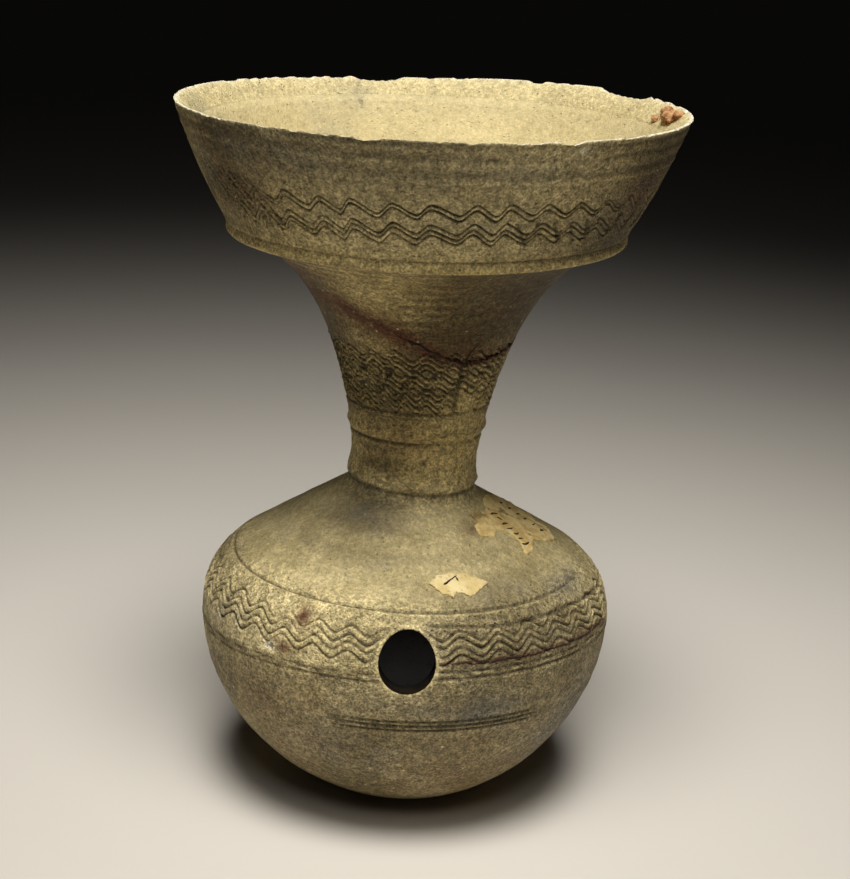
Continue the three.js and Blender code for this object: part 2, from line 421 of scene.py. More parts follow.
def turned_lines(theta, along):
    low = along - low_line - drawn(theta, low_drift)
    mid = along - mid_line - drawn(theta, mid_drift)
    mid_depth = drawn(theta, [
        (-100, 0.2), (-60, 0), (5, 0), (9, 0.6), (84, 0.6), (120, 0.4), (180, 0.4),
    ])
    top_depth = drawn(theta, [(-100, 0.4), (-88, 0.7), (50, 0.65), (70, 0.3), (180, 0.4)])
    front_depth = drawn(theta, [(-90, 0), (-24, 0), (-15, 1), (34, 1), (42, 0), (90, 0)])
    neck_step = smooth(neck_foot - 0.2, neck_foot + 0.5, along)
    neck_step = neck_step * smooth(neck_foot + 5, neck_foot + 2, along)
    relief = cut(low + 0.8, 0.36, 0.45) + cut(low - 0.9, 0.36, 0.45)
    relief += cut(mid, 0.5, 1) * mid_depth
    relief += cut(along - top_line, 0.42, 1) * top_depth
    relief += 0.5 * neck_step
    for level in front_lines:
        relief += cut(along - outside.distance(level), 0.36, 0.45) * front_depth
    relief += bead(along - neck_bead, 3.0, 0.65)
    relief += cut(along - neck_bead + 2.4, 0.45, 0.6)
    relief += cut(along - neck_line, 0.5, 0.5)
    relief += cut(along - neck_line + 1.5, 0.35, 0.25)
    relief += bead(along - bowl_foot - 0.8, 2.8, 1.0)
    relief += cut(along - band_line, 0.42, 0.5)
    relief += cut(along - lip + 10.4, 0.5, 0.25)
    relief += cut(along - lip + 3.2, 0.5, 0.15)
    return relief


def wheel_marks(theta, along):
    """Low rings left by the fingers, and the slight unevenness of hand work."""
    sway = 0.8 * np.sin(theta + 1) + 0.5 * np.sin(2 * theta)

    def rings(gap, swayed=1.0):
        return np.sin(along * TURN / gap + swayed * sway)

    relief = 0.06 * (smooth(183, 190, along) * smooth(219, 213, along)) * rings(3.4)
    relief += 0.07 * smooth(78, 60, along) * rings(5.3, swayed=1.4)
    relief += 0.06 * smooth(98, 104, along) * smooth(134, 128, along) * rings(4.1)
    relief += 0.08 * smooth(136, 140, along) * smooth(158, 150, along) * rings(2.3)
    relief += 0.1 * smooth(244, 248, along) * rings(3.7)
    relief += 0.22 * np.sin(2 * theta + along / 23) * smooth(0, 30, along)
    relief += 0.14 * np.sin(3 * theta - along / 17 + 2) * smooth(0, 30, along)
    return relief


def combed(theta, along):
    bare = patch(theta, along, 37, 162.5, 5, 3)
    faded = drawn(theta, [
        (-180, 0.2), (-70, 0.8), (-46, 0.75), (-34, 0), (42, 0), (62, 0.55), (90, 0.2),
    ])
    hand = 0.85 + 0.15 * np.sin(5 * theta + 0.7)
    relief = bowl_comb.relief(theta, along) * (1 - faded) * hand
    relief += body_comb.relief(theta, along) * hand
    passes = np.stack([comb.relief(theta, along) for comb in neck_combs])
    deepest = passes.min(axis=0)
    relief += np.where(deepest < -0.05, deepest, passes.max(axis=0)) * (1 - bare)
    for slash in slashes:
        relief -= 0.6 * soft(way_to(theta, along, slash), 0.36)
    return relief


def hole_gap(theta, along):
    """Distance from the edge of the spout hole, measured flat from the front."""
    radius, level = outside.at(along)
    across = radius * np.sin(theta) / (spout_width / 2)
    up = (level - belly_height - spout_rise) / (spout_tallness / 2)
    gap = np.abs(np.hypot(across, up) - 1) * spout_width / 2
    return np.where(np.cos(theta) > 0, gap, spout_width)


def damage(theta, along):
    relief = -0.5 * soft(way_to(theta, along, body_scratch), 0.6)
    relief -= 0.4 * soft(way_to(theta, along, neck_scratch), 0.6)
    for angle, place, wide, tall, proud in dents:
        relief += proud * patch(theta, along, angle, place, wide, tall)
    return relief


def relief_at(theta, along):
    """How far the clay stands proud of the plain outline."""
    relief = turned_lines(theta, along) + wheel_marks(theta, along)
    relief += combed(theta, along) + damage(theta, along)
    return relief * (1 - 0.85 * soft(hole_gap(theta, along), 1.4))


def outside_point(theta, along, lift):
    return turned(theta, *outside.pushed(along, relief_at(theta, along) + lift))


# Chips along the rim: degrees, length and depth, and how many small ones are made up
rim_chips = [(193, 15, 1.2), (152, 5, 0.7), (124.5, 21, 1.5), (28, 6, 0.8), (-15, 5, 0.7)]
small_chips = 80

# Rise and fall of the rim: degrees and millimetres
rim_warp = [
    (-180, -1.5), (-150, -1.2), (-110, -0.2), (-90, 0), (0, -0.1), (90, 0.2), (135, 0.3), (160, -0.4),
]


def chipped(theta, level):
    """Level of the rim with its chips broken out of it."""
    wear = np.random.default_rng(11)
    chips = list(rim_chips)
    for _ in range(small_chips):
        chips.append((wear.uniform(-180, 180), wear.uniform(1, 3.5), wear.uniform(0.15, 0.45)))
    edge = np.full(np.shape(theta), height + 1.0)
    for angle, length, depth in chips:
        around = wrapped(theta - math.radians(angle))
        share = np.abs(around * rim_radius) / (length / 2)
        rough = 0.12 * depth * np.sin(around * rim_radius * 2.3 + angle)
        inner = height - depth * np.sqrt(np.clip(1 - share ** 2, 0, 1)) + rough
        edge = np.where(share < 1, np.minimum(edge, inner), edge)
    return np.minimum(level, edge) + drawn(theta, rim_warp) * smooth(height - 25, height, level)


# The mesh of the jar

def spread(start, end, gap):
    count = max(1, round((end - start) / gap))
    return list(start + (end - start) * np.arange(count) / count)


def filled(rows, start, end, gap):
    """Rows between start and end, with plain ones added where they stand further apart than gap."""
    stops = [start] + sorted(row for row in rows if start < row < end) + [end]
    made = []
    for low, high in zip(stops, stops[1:]):
        made += spread(low, high, gap) if high - low > gap else [low]
    return made


def outside_rows():
    """(distance along, points around) of each ring, bottom to top."""
    # end of each span, gap between its rows and points around
    spans = [
        (56, 4, plain_steps), (64, 0.45, plain_steps), (70, 2, plain_steps), (72, 0.7, plain_steps),
        (78.5, 0.7, fine_steps), (91, 0.6, fine_steps), (98.5, 0.5, fine_steps),
        (131, 3, plain_steps), (139, 0.5, plain_steps), (148.6, 1.6, plain_steps),
        (160.5, 0.6, plain_steps), (180, 0.56, plain_steps), (bowl_foot - 2, 1.6, plain_steps),
        (227.5, 0.7, fine_steps), (245, 0.7, fine_steps), (lip - 2.4, 1.3, fine_steps),
        (lip, 0.7, fine_steps),
    ]
    combs = body_comb.rows() + bowl_comb.rows()
    rows = []
    start = 0
    for end, gap, steps in spans:
        rows += [(row, steps) for row in filled(combs, start, end, gap)]
        start = end
    return rows + [(lip, fine_steps)]


class Surface:
    """Points ring by ring, with the finish that belongs to each point."""

    finishes = ("ash_and_light", "dirt_and_shade", "stain", "grey", "pale", "ochre", "calm")

    def __init__(self):
        self.points = []
        self.rings = []
        self.finish = {name: [] for name in self.finishes}
        self.count = 0

    def add(self, points, finish):
        self.points.append(points)
        self.rings.append((self.count, len(points)))
        self.count += len(points)
        for name in self.finishes:
            self.finish[name].append(np.broadcast_to(finish.get(name, 0.0), len(points)))


def ring_angles(steps):
    return TURN * np.arange(steps) / steps


# Pale ash along the outside: distance along and amount
ash_along = [
    (0, 0.25), (45, 0.43), (70, 0.5), (79, 0.53), (89, 0.53), (94, 0.72), (101, 0.88), (125, 0.92),
    (134.5, 0.9), (136.5, 0.8), (150, 0.88), (160, 0.44), (180, 0.26), (186, 0.14), (205, 0.1),
    (217, 0.2), (221, 0.9), (226, 1.1), (240, 1.08), (252, 0.86), (257, 0.8), (258.9, 0.95),
]

# Brown stains, grey patches and pale chips: degrees, distance along, half width, half height, amount
stains = [
    (40, 122, 4, 3, 0.7), (-35, 79.5, 3.4, 1.8, 1), (-31, 89, 2.4, 3, 1), (-12, 150, 10, 5, 0.4),
    (20, 178, 12, 5, 0.5), (-40, 60, 14, 8, 0.3), (30, 40, 20, 10, 0.25), (-60, 205, 14, 6, 0.4),
    (60, 240, 12, 6, 0.4), (-55, 240, 12, 6, 0.35),
]
greys = [
    (-30, 126, 10, 5, 0.75), (20, 66, 18, 4, 0.7), (-15, 50, 16, 10, 0.45), (35, 100, 12, 3, 0.6),
    (62, 96, 10, 4, 0.8), (-60, 80, 12, 6, 0.5), (-65, 240, 10, 8, 0.5), (45, 235, 12, 7, 0.35),
    (10, 250, 30, 4, 0.5), (-35, 251, 20, 4, 0.55), (5, 236, 40, 6, 0.25), (-20, 110, 10, 5, 0.4),
    (62, 52, 22, 16, 0.7),
]
pale_spots = [
    (*chipped_spot, 2.6, 1.5, 1.3), (-8.5, lip - 2.6, 3, 1.2, 0.9), (31, lip - 2.6, 4, 1.6, 1),
    (-2, lip - 0.8, 1.6, 1, 1), (-38, lip - 1, 1.4, 1, 1),
]


def outside_finish(theta, along, relief):
    burr = np.clip((relief - 0.05) / 0.3, 0, 1)
    ash_and_light = np.interp(along, *zip(*ash_along)) + 0.55 * burr * smooth(74, 79, along)
    around = np.abs(degrees_of(theta))
    # Painted light and shade: on the bowl the ash colour is cut away towards the sides, so its front is
    # painted paler and its sides darker.
    ash_and_light = ash_and_light - 0.76 * smooth(12, 62, around) * smooth(220, 226, along)
    worn_edge = soft(hole_gap(theta, along), 1.1)
    ash_and_light = ash_and_light + 0.3 * worn_edge
    # Darker in the grooves and cuts and in the crease at the neck's foot, and painted shade on the
    # underside just below the bowl's foot.
    dirt_and_shade = np.clip(-relief / 0.65, 0, 0.72) * (1 - worn_edge)
    dirt_and_shade = np.maximum(dirt_and_shade, 0.7 * soft(along - neck_foot + 0.5, 0.7))
    dirt_and_shade = np.maximum(dirt_and_shade, 0.45 * soft(along - bowl_foot + 3.5, 2.2))
    crack_width = drawn(theta, [(-90, 5), (-12, 4.4), (12, 1.8), (90, 1.5)])
    stain = soft(way_to(theta, along, neck_crack), crack_width)
    stain = np.maximum(stain, 0.75 * soft(way_to(theta, along, underside_stain), 3))
    stain = np.maximum(stain, 0.6 * soft(way_to(theta, along, body_crack), 1.3))
    stain = np.maximum(stain, strongest(theta, along, stains))
    pale = strongest(theta, along, pale_spots)
    pale = np.maximum(pale, 0.85 * smooth(lip - 1.2, lip - 0.2, along))
    # Painted light: the front of the bowl is painted paler.
    pale = np.maximum(pale, 0.35 * smooth(221, 227, along) * smooth(60, 15, around))
    return {
        "ash_and_light": ash_and_light,
        "dirt_and_shade": dirt_and_shade,
        "stain": stain,
        "grey": strongest(theta, along, greys),
        "pale": pale,
        "ochre": 0.45 * smooth(134, 142, along),
        "calm": 0.5 * smooth(94, 101, along) * smooth(134, 128, along),
    }


def add_outside(surface):
    for row, steps in outside_rows():
        theta = ring_angles(steps)
        along = row + bowl_comb.shift(theta, row) + body_comb.shift(theta, row)
        relief = relief_at(theta, along)
        radius, level = outside.pushed(along, relief)
        broken = chipped(theta, level)
        finish = outside_finish(theta, along, relief)
        finish["pale"] = np.maximum(finish["pale"], np.clip((level - broken - 0.3) * 2, 0, 1))
        surface.add(turned(theta, radius, broken), finish)


def add_lip(surface):
    """Over the rounded edge and down the bevel inside it."""
    edge = rim_radius - lip_width
    stops = [
        (rim_radius - lip_width * 0.5, height + 0.1, 1.0),
        (edge, height, 0.9),
        (edge - bevel_width * 0.25, height - bevel_drop * 0.2, 0.6),
        (edge - bevel_width * 0.6, height - bevel_drop * 0.58, 0.35),
        (edge - bevel_width * 0.92, height - bevel_drop * 0.93, 0.3),
    ]
    theta = ring_angles(fine_steps)
    for radius, level, pale in stops:
        uneven = 0.1 * np.sin(9 * theta + radius) + 0.08 * np.sin(23 * theta)
        level = chipped(theta, level + uneven * (radius < edge))
        surface.add(turned(theta, radius, level), {"ash_and_light": 1.0, "pale": pale, "calm": 0.5})


def add_inside(surface):
    theta = ring_angles(plain_steps)
    rows = spread(0, 26, 2.6) + spread(26, 40, 3.5)
    rows += spread(40, 120, 8) + spread(120, inside.length - 4, 12)
    for row in rows:
        thrown = 0.12 * np.sin(row * TURN / 3.9 + 0.7 * np.sin(theta)) * smooth(0, 4, row)
        finish = {
            "ash_and_light": np.interp(row, [0, 60, 95, 120], [1.0, 0.95, 0.5, 0.15]),
            "grey": 0.25 * soft(row - 3.5, 2.6),
            # Painted shade: darker further down inside, through the neck into the body.
            "dirt_and_shade": np.interp(row, [0, 60, 90, 120], [0, 0.1, 0.7, 1]),
            "pale": 0.5 * math.exp(-row / 60),
            "calm": 0.75,
        }
        surface.add(turned(theta, *inside.pushed(row, thrown)), finish)


def joined(low, high):
    """Triangles and quads between two rings, one of which may have half as many points."""
    first, count = low
    other, others = high
    step = np.arange(max(count, others))
    if count == others:
        following = (step + 1) % count
        corners = [first + step, first + following, other + following, other + step]
        return np.stack(corners, axis=1).tolist()
    faces = []
    for i in range(min(count, others)):
        j = (i + 1) % min(count, others)
        if count < others:
            a, b = first + i, first + j
            c, d, e = other + 2 * i, other + 2 * i + 1, other + (2 * i + 2) % others
            faces += [(a, d, c), (a, b, d), (b, e, d)]
        else:
            a, b = other + i, other + j
            c, d, e = first + 2 * i, first + 2 * i + 1, first + (2 * i + 2) % count
            faces += [(c, d, a), (d, b, a), (d, e, b)]
    return faces


def capped(ring, middle, up):
    first, count = ring
    if up:
        return [(first + i, first + (i + 1) % count, middle) for i in range(count)]
    return [(first + (i + 1) % count, first + i, middle) for i in range(count)]


def make_mesh(name, points, faces):
    mesh = bpy.data.meshes.new(name)
    mesh.from_pydata(np.asarray(points).tolist(), [], faces)
    mesh.update()
    mesh.polygons.foreach_set("use_smooth", [True] * len(mesh.polygons))
    return mesh


def make_piece(name, mesh, material):
    piece = bpy.data.objects.new(name, mesh)
    bpy.context.collection.objects.link(piece)
    if material:
        mesh.materials.append(material)
    return piece


def clay_mesh():
    surface = Surface()
    add_outside(surface)
    add_lip(surface)
    add_inside(surface)
    faces = []
    for low, high in zip(surface.rings, surface.rings[1:]):
        faces += joined(low, high)
    points = np.concatenate(surface.points + [np.array([[0, 0, 0], [0, 0, floor_thickness * MM]])])
    faces += capped(surface.rings[0], surface.count, False)
    faces += capped(surface.rings[-1], surface.count + 1, True)
    mesh = make_mesh("clay_surface", points, faces)
    for name in surface.finishes:
        values = np.concatenate(surface.finish[name] + [np.zeros(2)])
        layer = mesh.attributes.new(name, "FLOAT", "POINT")
        layer.data.foreach_set("value", np.clip(values, 0, 1).astype(np.float32))
    return mesh


def spout_cutter():
    """An upright ellipse that runs level through the wall."""
    steps = 96
    reach = belly_radius + body_wall
    angles = ring_angles(steps)
    x = spout_width / 2 * np.cos(angles)
    z = belly_height + spout_rise + spout_tallness / 2 * np.sin(angles)
    points = []
    for depth in (reach, belly_radius / 2):
        points += [(x[i] * MM, -depth * MM, z[i] * MM) for i in range(steps)]
    faces = [(i, steps + i, steps + (i + 1) % steps, (i + 1) % steps) for i in range(steps)]
    faces.append(tuple(range(steps)))
    faces.append(tuple(range(2 * steps - 1, steps - 1, -1)))
    return make_mesh("spout_cutter", points, faces)


def wear_hole_edge(mesh):
    """The cut leaves its new points without a finish, so they take that of the worn edge."""
    places = np.empty(3 * len(mesh.vertices))
    mesh.vertices.foreach_get("co", places)
    x, y, z = places.reshape(-1, 3).T / MM
    ellipse = np.hypot(x / (spout_width / 2), (z - belly_height - spout_rise) / (spout_tallness / 2))
    near = 0.005
    edge_ash = 0.7
    on_edge = (np.abs(ellipse - 1) < near) & (y < 0)
    ash_and_light = np.empty(len(mesh.vertices))
    mesh.attributes["ash_and_light"].data.foreach_get("value", ash_and_light)
    ash_and_light[on_edge] = edge_ash
    mesh.attributes["ash_and_light"].data.foreach_set("value", ash_and_light.astype(np.float32))


def weld(mesh, reach):
    """Merges points that a cut leaves almost on top of each other and removes its flat flaps."""
    edit = bmesh.new()
    edit.from_mesh(mesh)
    bmesh.ops.remove_doubles(edit, verts=edit.verts, dist=reach)
    bmesh.ops.dissolve_degenerate(edit, edges=edit.edges, dist=reach)
    bmesh.ops.triangulate(edit, faces=edit.faces)
    bmesh.ops.dissolve_degenerate(edit, edges=edit.edges, dist=reach)
    edit.to_mesh(mesh)
    edit.free()


def cut_spout(piece):
    cutter = make_piece("spout_cutter", spout_cutter(), None)
    cutter.data.materials.append(None)
    cutter.data.materials.append(piece.data.materials[1])
    cutter.data.polygons.foreach_set("material_index", [1] * len(cutter.data.polygons))
    carve = piece.modifiers.new("spout", "BOOLEAN")
    carve.operation = "DIFFERENCE"
    carve.solver = "EXACT"
    carve.object = cutter
    shown = piece.evaluated_get(bpy.context.evaluated_depsgraph_get())
    mesh = bpy.data.meshes.new_from_object(shown)
    weld(mesh, reach=0.003 * MM)
    wear_hole_edge(mesh)
    piece.modifiers.remove(carve)
    piece.data = mesh
    bpy.data.objects.remove(cutter)


# Ribbons: thin strips let into the surface, for open cracks and strokes of ink

def alike(rng, count, span):
    """Random values, each the mean of span ones, so that neighbours are alike."""
    return np.convolve(rng.standard_normal(count + span - 1), np.ones(span) / span, mode="valid")


def ribbon(path, width, lift, sunk, seed, wander=0.12):
    """Points and faces of a closed strip along a path of (degrees, distance along)."""
    rng = np.random.default_rng(seed)
    angles, places = np.array(path, float).T
    radius, _ = outside.at(places)
    x = np.radians(angles) * radius.mean()
    run = np.concatenate([[0], np.cumsum(np.hypot(np.diff(x), np.diff(places)))])
    gap = 0.5
    stops = np.linspace(0, run[-1], max(3, int(run[-1] / gap)))
    x = np.interp(stops, run, x)
    y = np.interp(stops, run, places)
    loose = alike(rng, len(stops), 5)
    along_x, along_y = np.gradient(x), np.gradient(y)
    size = np.hypot(along_x, along_y)
    side_x, side_y = -along_y / size, along_x / size
    share = stops / run[-1]
    half = width / 2 * np.clip(np.minimum(share, 1 - share) * 9, 0.12, 1)
    half = half * (1 + 0.45 * alike(rng, len(stops), 3))
    half = np.maximum(half, width * 0.05)
    x = x + side_x * loose * wander * 2
    y = y + side_y * loose * wander * 2
    points = []
    for side, height_above in ((1, lift), (-1, lift), (-1, -sunk), (1, -sunk)):
        theta = (x + side * side_x * half) / radius.mean()
        points.append(outside_point(theta, y + side * side_y * half, height_above))
    points = np.stack(points, axis=1).reshape(-1, 3)
    faces = []
    for i in range(len(stops) - 1):
        for k in range(4):
            a, b = 4 * i + k, 4 * i + (k + 1) % 4
            faces.append((a, b, b + 4, a + 4))
    last = 4 * (len(stops) - 1)
    faces.append((3, 2, 1, 0))
    faces.append((last, last + 1, last + 2, last + 3))
    return points, faces


def mesh_of_parts(name, parts):
    """One mesh of several closed parts, each its points and faces."""
    points = []
    faces = []
    count = 0
    for part_points, part_faces in parts:
        points.append(part_points)
        faces += [tuple(count + corner for corner in face) for face in part_faces]
        count += len(part_points)
    return make_mesh(name, np.concatenate(points), faces)


def crack_mesh():
    return mesh_of_parts("cracks", [
        ribbon(neck_crack[2:], 0.7, 0.14, 0.5, seed=21, wander=0.3),
        ribbon(neck_branch, 0.5, 0.14, 0.5, seed=22),
        ribbon(body_crack, 0.7, 0.12, 0.5, seed=24, wander=0.2),
    ])


# Scraps of paper: outlines as degrees and distance along
front_paper = [
    (7, 104.8), (10.5, 107), (14.5, 108), (21, 108), (26, 106), (30, 103.5), (24.5, 101.2),
    (21, 99.8), (18.5, 101.2), (16.5, 102), (15, 99.5), (13.5, 101), (11.5, 101.2),
]
side_paper = [
    (62.5, 125.8), (78, 129.5), (95, 128.5), (108, 124), (112, 116), (106, 111), (98, 107.5), (90, 104),
    (80, 107.2), (72.5, 111), (64, 108.6), (58, 108.6), (62, 113), (63, 117.5), (56, 119.5), (48, 117.8),
    (41.5, 119.2), (42.5, 123), (49, 124), (45, 127), (54, 127.5),
]
# Strokes of ink on the front paper
front_strokes = [
    [(12.5, 104.2), (15, 105.4), (18.5, 107)],
    [(18, 106.7), (18.5, 105.2)],
    [(21.3, 107.8), (22.2, 106.4)],
]
# Rows of strokes on the worn paper: both ends and how many
side_rows = [((68, 124), (64.5, 111.5), 7), ((95, 123), (89, 109), 6)]


def torn(outline, gap, rough, seed):
    """The outline with its edges stepped and roughened, unrolled flat."""
    rng = np.random.default_rng(seed)
    corners = [(math.radians(angle) * outside.at(along)[0], along) for angle, along in outline]
    edge = []
    for (x0, y0), (x1, y1) in zip(corners, corners[1:] + corners[:1]):
        count = max(1, round(math.hypot(x1 - x0, y1 - y0) / gap))
        for k in range(count):
            share = k / count
            x = x0 + (x1 - x0) * share + rough * rng.standard_normal()
            y = y0 + (y1 - y0) * share + rough * rng.standard_normal()
            edge.append((x, y))
    return edge


def within(x, y, edge):
    inside_edge = False
    for (x0, y0), (x1, y1) in zip(edge, edge[1:] + edge[:1]):
        if (y0 > y) != (y1 > y) and x < (x1 - x0) * (y - y0) / (y1 - y0) + x0:
            inside_edge = not inside_edge
    return inside_edge


def paper_mesh(name, outline, lift, seed):
    """A sheet with a little thickness that follows the shoulder, its edges curling up."""
    grid = 1.1
    sunk = 0.15
    edge = torn(outline, gap=0.7, rough=0.14, seed=seed)
    xs, ys = zip(*edge)
    inner = [
        (x, y)
        for x in np.arange(min(xs), max(xs), grid)
        for y in np.arange(min(ys), max(ys), grid)
        if within(x, y, edge)
    ]
    rim = len(edge)
    corners = edge + inner
    links = [(i, (i + 1) % rim) for i in range(rim)]
    flat, _, faces, *_ = geometry.delaunay_2d_cdt(corners, links, [], 1, 1e-4)
    flat = np.array([tuple(point) for point in flat])
    theta = flat[:, 0] / outside.at(flat[:, 1])[0]
    apart = flat[:, None] - np.array(edge)[None]
    gap = np.hypot(apart[..., 0], apart[..., 1]).min(axis=1)
    curl = 0.22 * np.exp(-gap / 0.6) * (1 + np.sin(flat[:, 0] * 1.7 + flat[:, 1]))
    top = outside_point(theta, flat[:, 1], lift + curl)
    bottom = outside_point(theta, flat[:, 1], -sunk)
    count = len(flat)
    solid_faces = [tuple(face) for face in faces]
    solid_faces += [tuple(count + corner for corner in reversed(face)) for face in faces]
    sides = [side for face in faces for side in zip(face, list(face[1:]) + [face[0]])]
    both_ways = set(sides)
    solid_faces += [(b, a, count + a, count + b) for a, b in sides if (b, a) not in both_ways]
    return make_mesh(name, np.concatenate([top, bottom]), solid_faces)


def ink_mesh():
    """Strokes that lie on the papers: their lower side is above the clay too."""
    strips = [ribbon(stroke, 0.42, 0.3, -0.1, seed=30 + i) for i, stroke in enumerate(front_strokes)]
    rng = np.random.default_rng(40)
    for start, end, count in side_rows:
        for k in range(count):
            angle = start[0] + (end[0] - start[0]) * k / (count - 1)
            place = start[1] + (end[1] - start[1]) * k / (count - 1)
            reach = rng.uniform(1, 3.6)
            rise = rng.uniform(0.4, 1)
            bend = rng.uniform(-0.4, 0.4)
            stroke = [
                (angle - reach, place + rise),
                (angle + 0.5, place + bend),
                (angle + reach, place - rise),
            ]
            strips.append(ribbon(stroke, 0.6, 0.3, -0.1, seed=50 + len(strips)))
    return mesh_of_parts("ink", strips)


# Crumb of reddish clay stuck inside the rim: degrees, radius, height and half sizes
crumb_lumps = [
    (97, 66.6, 197.6, (4.6, 2.5, 2.1)),
    (101.5, 67.2, 198.3, (2.8, 2, 1.7)),
    (92.5, 67.8, 198.8, (2.4, 1.8, 1.5)),
    (104.5, 65, 196.2, (1.4, 1.1, 1)),
]


def lump(angle, radius, level, sizes):
    """Points and faces of one uneven lump, its long side round the rim."""
    rows, steps = 22, 32
    long, wide, tall = sizes
    theta = math.radians(angle)
    middle = np.array([radius * math.sin(theta), -radius * math.cos(theta), level])
    points = []
    for i in range(1, rows):
        for k in range(steps):
            polar, turn = math.pi * i / rows, TURN * k / steps
            flat = math.sin(polar)
            ball = np.array([flat * math.cos(turn), flat * math.sin(turn), math.cos(polar)])
            bump = 1 + 0.3 * noise.noise(ball * 2.1 + middle) + 0.16 * noise.noise(ball * 6 + middle)
            local = ball * bump * (wide, long, tall)
            x = local[0] * math.sin(theta) + local[1] * math.cos(theta)
            y = -local[0] * math.cos(theta) + local[1] * math.sin(theta)
            points.append(middle + (x, y, local[2]))
    points.append(middle + (0, 0, tall))
    points.append(middle - (0, 0, tall))
    top, bottom = len(points) - 2, len(points) - 1
    faces = []
    for i in range(rows - 2):
        for k in range(steps):
            a = i * steps + k
            b = i * steps + (k + 1) % steps
            faces.append((a, a + steps, b + steps, b))
    low = (rows - 2) * steps
    for k in range(steps):
        faces.append((top, k, (k + 1) % steps))
        faces.append((bottom, low + (k + 1) % steps, low + k))
    return lean(*np.array(points).T), faces


def crumb_mesh():
    return mesh_of_parts("crumb", [lump(*values) for values in crumb_lumps])


# Materials

def srgb(red, green, blue):
    """Linear colour from display values of 0 to 255."""
    def linear(value):
        value /= 255
        return value / 12.92 if value <= 0.04045 else ((value + 0.055) / 1.055) ** 2.4
    return (linear(red), linear(green), linear(blue), 1)


class Nodes:
    """Short ways to add and link the nodes of one material."""

    def __init__(self, name):
        self.material = bpy.data.materials.new(name)
        self.material.use_nodes = True
        self.tree = self.material.node_tree
        self.shader = self.tree.nodes["Principled BSDF"]
        self.coordinates = self.add("ShaderNodeTexCoord", {}).outputs["Object"]

    def add(self, kind, inputs, **settings):
        made = self.tree.nodes.new(kind)
        for name, value in settings.items():
            setattr(made, name, value)
        for name, value in inputs.items():
            self.put(value, made.inputs[name])
        return made

    def put(self, value, socket):
        if isinstance(value, bpy.types.NodeSocket):
            self.tree.links.new(value, socket)
        else:
            socket.default_value = value

    def noise(self, scale, detail=4, roughness=0.6, stretch=(1, 1, 1)):
        coordinates = self.coordinates
        if stretch != (1, 1, 1):
            mapping = self.add("ShaderNodeMapping", {"Vector": coordinates, "Scale": stretch})
            coordinates = mapping.outputs["Vector"]
        made = self.add("ShaderNodeTexNoise", {
            "Vector": coordinates, "Scale": scale, "Detail": detail, "Roughness": roughness,
        })
        return made.outputs["Fac"]

    def cells(self, scale):
        made = self.add("ShaderNodeTexVoronoi", {"Vector": self.coordinates, "Scale": scale})
        return made.outputs["Distance"]

    def math(self, operation, first, second):
        return self.add("ShaderNodeMath", {0: first, 1: second}, operation=operation).outputs[0]

    def times(self, first, second):
        return self.math("MULTIPLY", first, second)

    def plus(self, first, second):
        return self.math("ADD", first, second)

    def ramp(self, value, low, high):
        """0 below low, 1 above high and smooth between; low may be above high."""
        limits = {"Value": value, "From Min": low, "From Max": high}
        made = self.add("ShaderNodeMapRange", limits, interpolation_type="SMOOTHSTEP")
        return made.outputs["Result"]

    def mix(self, share, first, second, blend="MIX"):
        colours = {"Factor": share, "A": first, "B": second}
        made = self.add("ShaderNodeMix", colours, data_type="RGBA", blend_type=blend)
        return made.outputs["Result"]

    def tones(self, value, low, high, first, second):
        """From the first colour, where the value is low, to the second, both as display values."""
        return self.mix(self.ramp(value, low, high), srgb(*first), srgb(*second))

    def shade(self, colour, value, dark, light):
        """The colour darkened where the value is low and lightened where it is high."""
        tone = self.mix(self.ramp(value, 0.35, 0.65), (dark, dark, dark, 1), (light, light, light, 1))
        return self.mix(1.0, colour, tone, blend="MULTIPLY")

    def finish(self, name):
        return self.add("ShaderNodeAttribute", {}, attribute_name=name).outputs["Fac"]

    def bump(self, value, strength, distance):
        made = self.add("ShaderNodeBump", {
            "Strength": strength, "Distance": distance, "Height": value,
        })
        self.put(made.outputs["Normal"], self.shader.inputs["Normal"])

    def coat(self, colour, roughness):
        self.put(colour, self.shader.inputs["Base Color"])
        self.put(roughness, self.shader.inputs["Roughness"])


